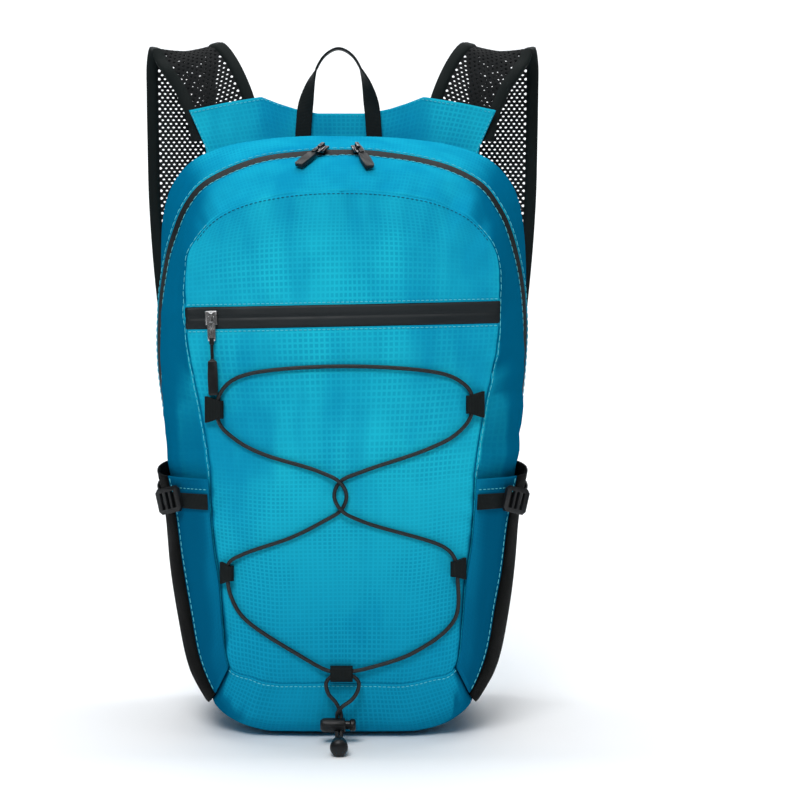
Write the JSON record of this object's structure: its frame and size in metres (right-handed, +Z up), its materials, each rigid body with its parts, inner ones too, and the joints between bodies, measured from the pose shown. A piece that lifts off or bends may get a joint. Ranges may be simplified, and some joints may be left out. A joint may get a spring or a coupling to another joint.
{
  "type": "packable backpack",
  "caption": "Soft day pack with arched main zip, front pocket with laced elastic cord, open side pockets, mesh shoulder straps and a grab handle.",
  "frame": {"origin": "on the flat middle of the base, under the widest line of the body", "axes": "+Z up, the front with the laced cord faces -Y, +X to the right seen from the front"},
  "size_m": [0.3104, 0.2632, 0.5068],
  "materials": {
    "ripstop_blue": "satin ripstop weave",
    "stretch_black": "matt stretch knit",
    "air_mesh_black": "open spacer mesh",
    "binding_black": "smooth binding tape",
    "webbing_black": "woven webbing",
    "zip_tape_black": "matt coated tape",
    "plastic_black": "satin moulded",
    "metal_dark": "dark plated",
    "metal_silver": "bright plated",
    "cord_black": "braided elastic"
  },
  "bodies": {
    "bag": {"rear_gusset": "ripstop_blue", "front_ring": "ripstop_blue", "pocket_upper": "ripstop_blue", "pocket_lower": "ripstop_blue", "base_panel": "ripstop_blue", "yoke": "ripstop_blue", "back_panel": "ripstop_blue", "side_pocket_panel_L": "ripstop_blue", "side_pocket_panel_R": "ripstop_blue", "lower_tab_L": "ripstop_blue", "lower_tab_R": "ripstop_blue", "side_pocket_mesh_L": "stretch_black", "side_pocket_mesh_R": "stretch_black", "strap_mesh_L": "air_mesh_black", "strap_mesh_R": "air_mesh_black", "strap_binding_L": "binding_black", "strap_binding_R": "binding_black", "grab_handle": "webbing_black", "strap_webbing_L": "webbing_black", "strap_webbing_R": "webbing_black", "compression_webbing_L": "webbing_black", "compression_webbing_R": "webbing_black", "cord_loop_UL": "webbing_black", "cord_loop_UR": "webbing_black", "cord_loop_LL": "webbing_black", "cord_loop_LR": "webbing_black", "cord_loop_B": "webbing_black", "main_zip": "zip_tape_black", "pocket_zip_band": "zip_tape_black", "ladder_lock_L": "plastic_black", "ladder_lock_R": "plastic_black", "compression_buckle_L": "plastic_black", "compression_buckle_R": "plastic_black", "main_pull_L": "plastic_black", "main_pull_R": "plastic_black", "pocket_pull": "plastic_black", "cord_lock_barrel": "plastic_black", "cord_end": "plastic_black", "main_slider_L": "metal_dark", "main_slider_R": "metal_dark", "main_ring_L": "metal_dark", "main_ring_R": "metal_dark", "pocket_slider": "metal_silver", "pocket_link": "metal_silver", "cord_lacing": "cord_black", "cord_tail_L": "cord_black", "cord_tail_R": "cord_black"},
    "plunger": {"cord_lock_plunger": "plastic_black"}
  },
  "joints": [
    {"name": "plunger_press", "type": "slide", "parent": "bag", "child": "plunger", "axis": [-1, 0, 0], "range_m": [0, 0.003], "stiffness_N_per_m": 500}
  ]
}
